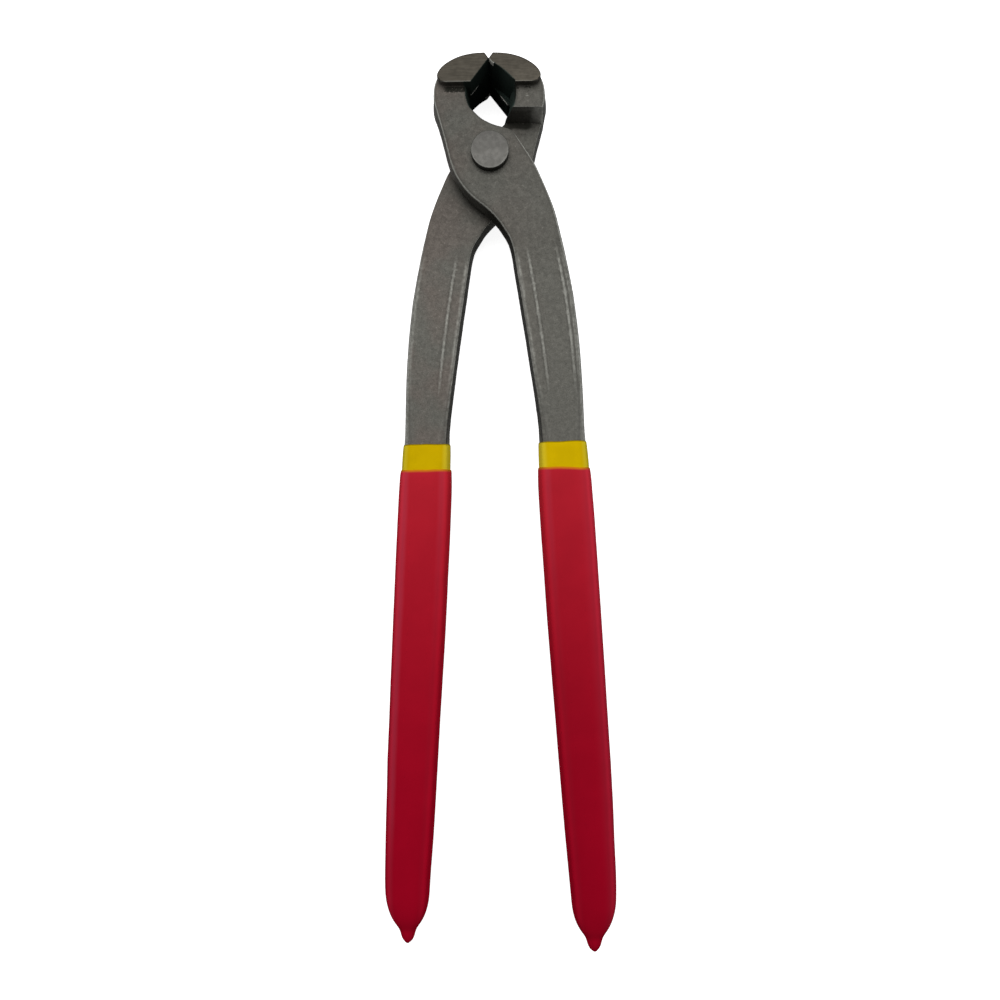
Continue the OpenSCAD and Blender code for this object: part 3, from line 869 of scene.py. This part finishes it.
def scale_and_shade_share(c):
    """Scale and painted shade on upright sides, painted shade in the corner below the block and a painted shadow
    on the ragged foot before it
    """
    # Painted shade on upright sides over their scale, held back on outer sides and on the block's wall
    side = (1 - step(c.lying, *UPRIGHT)) * (1 - OUTER_LIGHT * c.outer * (1 + c.down_shank))
    block = (c.y > BLOCK_LOW_Y) * (c.facing_y < BLOCK_FACING)
    side *= 1 - block * (WALL_UNSHADED_SHARE + (1 - WALL_UNSHADED_SHARE) * step(c.off, *WALL_UNSHADED_X))
    base = (c.rise < BASE_RISE) & c.between(BASE_LOW_Y, BASE_HIGH_Y)
    # Painted shade in concave corners and a painted shadow along the foot of the block's wall
    corner = step(-c.turn, *BASE_TURN) * base
    ragged_y = c.y + sum(height * np.sin(c.x / wave_l) for height, wave_l in RAGGED_WAVES)
    foot = BASE_DARK * step(ragged_y, *BASE_START_Y) * (1 - step(c.off, *BASE_X))
    foot = foot * (c.own < BASE_OVER_LAP) * base * (c.lying > FLAT)
    return np.maximum(np.maximum(corner, foot), side)


def tint(mesh, up):
    """Stores where a half has soot and painted shade, scale and painted shade, wear and painted highlights, and
    painted glints
    """
    corners = Corners(mesh, up)
    soot_and_shade, glint = soot_shade_and_glint(corners)
    set_share(mesh, "soot_and_shade", soot_and_shade)
    set_share(mesh, "glint", glint)
    set_share(mesh, "wear_and_highlight", wear_and_highlight_share(corners))
    set_share(mesh, "scale", scale_and_shade_share(corners))


def free_share(mesh, points, half_h, steel):
    """1 where a forged face may be smoothed and waved, 0 on machined and hidden faces"""
    x, y, z = points.T
    rise = np.abs(z - LAP_Z)
    bore = np.hypot(x, y) < steel.rivet_shank_d / 2 + BORE_MARGIN
    lap = (rise < LAP_SKIN) & (y > LAP_END_Y)
    walls = (np.abs(x) < WALL_X) & (y > WALL_Y) & (np.abs(normals_of(mesh)[:, 2]) < WALL_STEEP)
    blade = (rise > half_h - BLADE_RISE) & (y > FOOT_Y - BLADE_MARGIN)
    free = 1.0 - (bore | lap | walls | blade)
    free *= step(y, *TANG_Y)
    edges = edges_of(mesh)
    for _ in range(FADE_ROUNDS):
        free = np.minimum(free, neighbours_mean(edges, free))
    return free


def forge(node, name, up, steel, seed):
    """A forged half. up is 1 where its own side faces up, and -1 where it faces down"""
    piece = cad_copy(node, name)
    low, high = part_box(node)
    mesh = piece.data
    refine(mesh, steel.mesh_step, SHANK_LOW_Y)
    refine(mesh, steel.jaw_step, JAW_LOW_Y)
    points, edges = points_of(mesh), edges_of(mesh)
    x, y, z = points.T
    own = (z - LAP_Z) * up
    free = free_share(mesh, points, (high.z - low.z) / 2, steel)
    soft = RELAX * free * (1 - CRISP * step(ridge(mesh), *CRISP_TURN))
    for _ in range(steel.soften):
        for axis in range(3):
            points[:, axis] += soft * (neighbours_mean(edges, points[:, axis]) - points[:, axis])
    closed = (np.abs(x) < CLOSED_GAP) & (y > CLOSED_LOW_Y) & (y < CLOSED_HIGH_Y)
    points[closed, 0] = 0
    flatten = np.interp(y, RIDGE_Y, (0, RIDGE_H, 0)) * step(-own, *RIDGE_RISE)
    points[:, 2] += up * flatten
    set_points(mesh, points)
    mesh.set_sharp_from_angle(angle=SHARP)
    tint(mesh, up)
    normals = normals_of(mesh)
    depth = steel.forging_wave * waves(points, steel.forging_wave_l, seed)
    depth += steel.scale_depth * (waves(points, steel.scale_l, seed + 1) - PIT_BIAS)
    points += normals * (depth * free)[:, None]
    keep_inside(points, low, high)
    set_points(mesh, points)
    return piece


class NIPPERS_OT_forge_halves(bpy.types.Operator):
    """Make the two forged halves"""

    bl_idname = "nippers.forge_halves"
    bl_label = "Forge the halves"

    def execute(self, context):
        steel = context.scene.nippers_steel
        material = forged_steel("forged_steel", steel)
        for node, up, seed in (("front_half", 1, 11), ("rear_half", -1, 29)):
            piece = forge(node, node.replace("half", "forging"), up, steel, seed)
            shade(piece, material)
            hand_over(piece, node)
        return {"FINISHED"}


def turn_rivet(name, steel):
    """The rivet: half of its section, turned about its axis"""
    low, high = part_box("pivot_rivet")
    rim = steel.rivet_rim
    angles = [radians(90 * i / RIM_STEPS) for i in range(RIM_STEPS + 1)]
    outer = [(RIVET_R - rim * (1 - cos(a)), rim * (1 - sin(a))) for a in reversed(angles)]
    shank = [(RIVET_R, steel.rivet_head_t), (steel.rivet_shank_d / 2, steel.rivet_head_t)]
    half = [(0, 0)] + outer + shank
    bm = bmesh.new()
    tail = [bm.verts.new((r, 0, low.z + h)) for r, h in half]
    head = [bm.verts.new((r, 0, high.z - h)) for r, h in reversed(half)]
    line = [bm.edges.new(pair) for pair in zip(tail + head, (tail + head)[1:])]
    bmesh.ops.spin(bm, geom=tail + head + line, axis=(0, 0, 1), cent=(0, 0, 0), dvec=(0, 0, 0),
                   angle=2 * pi, steps=TURN_STEPS, use_merge=True)
    bmesh.ops.remove_doubles(bm, verts=bm.verts, dist=MERGE_L)
    bmesh.ops.recalc_face_normals(bm, faces=bm.faces)
    mesh = bpy.data.meshes.new(name)
    bm.to_mesh(mesh)
    bm.free()
    mesh.set_sharp_from_angle(angle=RIVET_SHARP)
    return new_piece(mesh, name)


class NIPPERS_OT_set_rivet(bpy.types.Operator):
    """Make the pivot rivet"""

    bl_idname = "nippers.set_rivet"
    bl_label = "Set the rivet"

    def execute(self, context):
        steel = context.scene.nippers_steel
        piece = turn_rivet("rivet", steel)
        shade(piece, rivet_steel("rivet_steel", steel))
        hand_over(piece, "pivot_rivet")
        return {"FINISHED"}


def across(points, cells=36):
    """How far from the tool's axis the middle of a coat lies at each point, and its half width"""
    y, x = points[:, 1], np.abs(points[:, 0])
    places = np.linspace(y.min(), y.max(), cells)
    cell = np.abs(y[:, None] - places).argmin(1)
    near, far = np.full(cells, np.inf), np.full(cells, -np.inf)
    np.minimum.at(near, cell, x)
    np.maximum.at(far, cell, x)
    full = far > near
    places, near, far = places[full], near[full], far[full]
    return np.interp(y, places, (far + near) / 2), np.interp(y, places, (far - near) / 2)


def dip(node, name, grips, seed):
    """A coat of vinyl over a tang"""
    piece = cad_copy(node, name)
    bm = bmesh.new()
    bm.from_mesh(piece.data)
    bmesh.ops.join_triangles(bm, faces=bm.faces, angle_face_threshold=radians(30),
                             angle_shape_threshold=radians(60))
    bm.to_mesh(piece.data)
    bm.free()
    smooth = piece.modifiers.new("Smooth", "SUBSURF")
    smooth.levels = smooth.render_levels = grips.levels
    mesh = apply_modifiers(piece)
    points, normals = points_of(mesh), normals_of(mesh)
    low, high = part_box(node)
    middle, half = across(points)
    side = np.sign(points[:, 0])
    off = np.abs(points[:, 0]) - middle
    outward = normals[:, 0] * side * off + normals[:, 2] * (points[:, 2] - (low.z + high.z) / 2)
    from_line = high.y - points[:, 1]
    set_share(mesh, "across", np.clip(off / half, -1, 1) / 2 + 0.5)
    set_share(mesh, "thin", 1 - step(from_line, *LIP))
    set_share(mesh, "outer", step(normals[:, 0] * side, *FACING_OUT))
    set_share(mesh, "inner", step(-normals[:, 0] * side, *FACING_IN))
    bulge = grips.sag * waves(points, grips.sag_l, seed) * step(from_line, *SAG_START)
    bulge += grips.swell * step(outward, 0, SWELL_DEPTH)
    points += normals * bulge[:, None]
    near = 1 - step(from_line, *LINE_FADE)
    points[:, 1] -= near * grips.dip_wave * (1 + waves(points * (1, 0, 0), LINE_WAVE_L, seed + 3))
    keep_inside(points, low, high)
    set_points(mesh, points)
    return piece


class NIPPERS_OT_dip_yellow(bpy.types.Operator):
    """Make the yellow first coats"""

    bl_idname = "nippers.dip_yellow"
    bl_label = "Dip the yellow coats"

    def execute(self, context):
        grips = context.scene.nippers_grips
        material = yellow_vinyl("yellow_vinyl", grips)
        for node, seed in (("front_under_coat", 41), ("rear_under_coat", 47)):
            piece = dip(node, node.replace("under_coat", "yellow_coat"), grips, seed)
            shade(piece, material)
            hand_over(piece, node)
        return {"FINISHED"}


class NIPPERS_OT_dip_red(bpy.types.Operator):
    """Make the red grips"""

    bl_idname = "nippers.dip_red"
    bl_label = "Dip the red grips"

    def execute(self, context):
        grips = context.scene.nippers_grips
        material = red_vinyl("red_vinyl", grips)
        for node, seed in (("front_grip", 53), ("rear_grip", 59)):
            piece = dip(node, node.replace("grip", "red_grip"), grips, seed)
            shade(piece, material)
            hand_over(piece, node)
        return {"FINISHED"}


def lamp(name, power, size, place, towards):
    """A flat lamp that faces a point"""
    data = bpy.data.lights.new(name, "AREA")
    data.energy = power
    data.shape = "RECTANGLE"
    data.size, data.size_y = size
    lit = bpy.data.objects.new(name, data)
    bpy.context.scene.collection.objects.link(lit)
    lit.location = place
    lit.rotation_euler = (Vector(towards) - Vector(place)).to_track_quat("-Z", "Y").to_euler()


def floor_material(stage):
    """A pale floor that the camera and the steel see as white, with the tool's shadow on it"""
    n = Nodes("floor")
    path = n.add("ShaderNodeLightPath")
    seen = n.math("MAXIMUM", path.outputs["Is Camera Ray"], path.outputs["Is Glossy Ray"])
    seen = n.math("MAXIMUM", seen, path.outputs["Is Transmission Ray"])
    glow = n.add("ShaderNodeEmission", {"Color": WHITE, "Strength": n.times(seen, FLOOR_GLOW)})
    both = n.add("ShaderNodeAddShader")
    n.tree.links.new(n.shader.outputs["BSDF"], both.inputs[0])
    n.tree.links.new(glow.outputs["Emission"], both.inputs[1])
    n.tree.links.new(both.outputs["Shader"], n.tree.nodes["Material Output"].inputs["Surface"])
    n.shader.inputs["Specular IOR Level"].default_value = 0.0
    return n.finish(Base_Color=n.mix(seen, stage.floor_shade, stage.floor_colour), Roughness=FLOOR_ROUGH)


def build_floor(stage):
    """A flat floor at the level of the bench"""
    bm = bmesh.new()
    bmesh.ops.create_grid(bm, x_segments=1, y_segments=1, size=stage.floor_size / 2)
    mesh = bpy.data.meshes.new("floor")
    bm.to_mesh(mesh)
    bm.free()
    floor = new_piece(mesh, "floor")
    floor.data.materials.append(floor_material(stage))


def light_the_sky(scene, stage):
    """White to the camera, and a soft light from all round to the tool"""
    world = bpy.data.worlds.new("tent")
    scene.world = world
    world.use_nodes = True
    nodes, links = world.node_tree.nodes, world.node_tree.links
    path = nodes.new("ShaderNodeLightPath")
    strength = nodes.new("ShaderNodeMapRange")
    strength.inputs["To Min"].default_value = stage.sky
    strength.inputs["To Max"].default_value = 1.0
    links.new(path.outputs["Is Camera Ray"], strength.inputs["Value"])
    links.new(strength.outputs["Result"], nodes["Background"].inputs["Strength"])
    nodes["Background"].inputs["Color"].default_value = WHITE


def set_camera(scene, stage):
    """Looks straight down on the tool"""
    data = bpy.data.cameras.new("camera")
    data.lens = stage.lens
    data.shift_x = stage.axis_shift
    data.clip_start, data.clip_end = CLIP_NEAR, CLIP_FAR
    camera = bpy.data.objects.new("camera", data)
    scene.collection.objects.link(camera)
    camera.location = (stage.camera_x, stage.camera_y, LAP_Z + stage.camera_h)
    camera.rotation_euler = (0, 0, stage.roll)
    scene.camera = camera


class NIPPERS_OT_build_stage(bpy.types.Operator):
    """Make the floor, the sky, the lamp and the camera"""

    bl_idname = "nippers.build_stage"
    bl_label = "Build the stage"

    def execute(self, context):
        scene = context.scene
        stage = scene.nippers_stage
        build_floor(stage)
        light_the_sky(scene, stage)
        lamp("key_lamp", stage.key, KEY_SIZE, KEY_PLACE, KEY_TARGET)
        set_camera(scene, stage)
        scene.view_settings.view_transform = "Standard"
        return {"FINISHED"}


class NIPPERS_PT_panel(bpy.types.Panel):
    """Lists the steps that dress the nippers"""

    bl_idname = "NIPPERS_PT_panel"
    bl_label = "End cutting nippers"
    bl_space_type = "VIEW_3D"
    bl_region_type = "UI"
    bl_category = "Nippers"

    def draw(self, context):
        for name in GROUPS:
            group = getattr(context.scene, name)
            box = self.layout.box()
            for setting in group.__annotations__:
                box.prop(group, setting)
        for operator in OPERATORS:
            self.layout.operator(operator.bl_idname)


GROUPS = {"nippers_steel": NippersSteel, "nippers_grips": NippersGrips, "nippers_stage": NippersStage}
OPERATORS = (NIPPERS_OT_forge_halves, NIPPERS_OT_set_rivet, NIPPERS_OT_dip_yellow,
             NIPPERS_OT_dip_red, NIPPERS_OT_build_stage)
CLASSES = (*GROUPS.values(), *OPERATORS, NIPPERS_PT_panel)


def register():
    for made in CLASSES:
        bpy.utils.register_class(made)
    for name, group in GROUPS.items():
        setattr(bpy.types.Scene, name, PointerProperty(type=group))


def unregister():
    for name in GROUPS:
        delattr(bpy.types.Scene, name)
    for made in reversed(CLASSES):
        bpy.utils.unregister_class(made)


def main():
    register()
    bpy.ops.nippers.forge_halves()
    bpy.ops.nippers.set_rivet()
    bpy.ops.nippers.dip_yellow()
    bpy.ops.nippers.dip_red()
    bpy.ops.nippers.build_stage()
    bpy.context.view_layer.update()


if __name__ == "__main__":
    main()
